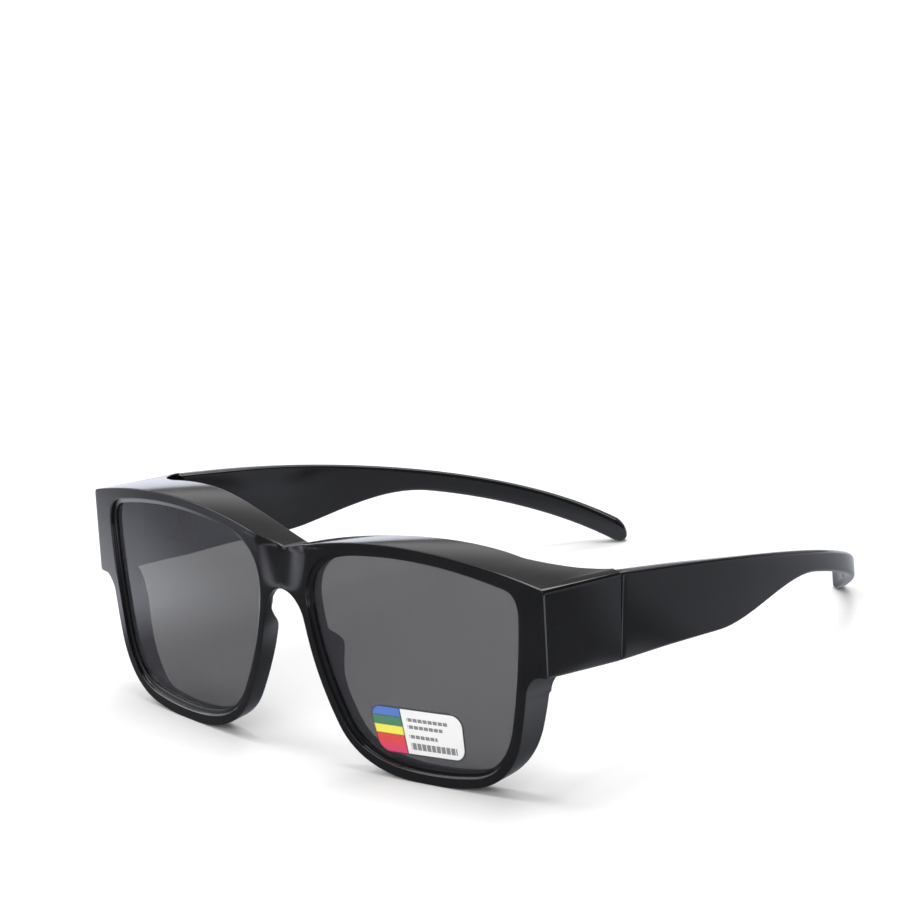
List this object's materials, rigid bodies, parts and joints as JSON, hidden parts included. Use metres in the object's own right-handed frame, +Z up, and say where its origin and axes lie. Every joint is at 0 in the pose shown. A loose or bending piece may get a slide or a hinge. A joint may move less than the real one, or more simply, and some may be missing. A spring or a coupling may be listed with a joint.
{
  "type": "polarized sunglasses",
  "caption": "Fit-over polarized sunglasses with a deep wrap front, laminated smoke lenses and folding temples, standing open on rims and tips.",
  "frame": {"origin": "on the surface the open glasses stand on, below the middle of the box round them", "axes": "+X to the wearer's left, +Y back along the temples, +Z up; the front faces -Y"},
  "size_m": [0.1508, 0.1584, 0.0565],
  "materials": {
    "frame_black": "polished black injection-moulded plastic",
    "temple_black": "polished black injection-moulded plastic",
    "lens_smoke": "smoke-grey clear lens sheet",
    "lens_film": "grey polarizing film",
    "sticker_white": "satin white label film",
    "sticker_print": "printed colour stripes",
    "hinge_metal": "satin nickel-plated hinge leaf",
    "hinge_screw": "turned steel screw",
    "hinge_rivet": "steel rivet"
  },
  "bodies": {
    "front": {"front_frame": "frame_black", "lens_front_left": "lens_smoke", "lens_film_left": "lens_film", "lens_back_left": "lens_smoke", "lens_front_right": "lens_smoke", "lens_film_right": "lens_film", "lens_back_right": "lens_smoke", "sticker_base": "sticker_white", "sticker_stripes": "sticker_print", "hinge_front_leaf_left": "hinge_metal", "hinge_screw_left": "hinge_screw", "front_rivets_left": "hinge_rivet", "hinge_front_leaf_right": "hinge_metal", "hinge_screw_right": "hinge_screw", "front_rivets_right": "hinge_rivet"},
    "left_temple": {"temple_left": "temple_black", "hinge_temple_leaf_left": "hinge_metal", "temple_rivets_left": "hinge_rivet"},
    "right_temple": {"temple_right": "temple_black", "hinge_temple_leaf_right": "hinge_metal", "temple_rivets_right": "hinge_rivet"}
  },
  "joints": [
    {"name": "left_temple_fold", "type": "hinge", "parent": "front", "child": "left_temple", "pos_m": [0.0695, -0.04442, 0.03728], "axis": [0, 0.1338, 0.991], "range_deg": [0, 80]},
    {"name": "right_temple_fold", "type": "hinge", "parent": "front", "child": "right_temple", "pos_m": [-0.0695, -0.04442, 0.03728], "axis": [0, -0.1338, -0.991], "range_deg": [0, 68]}
  ]
}
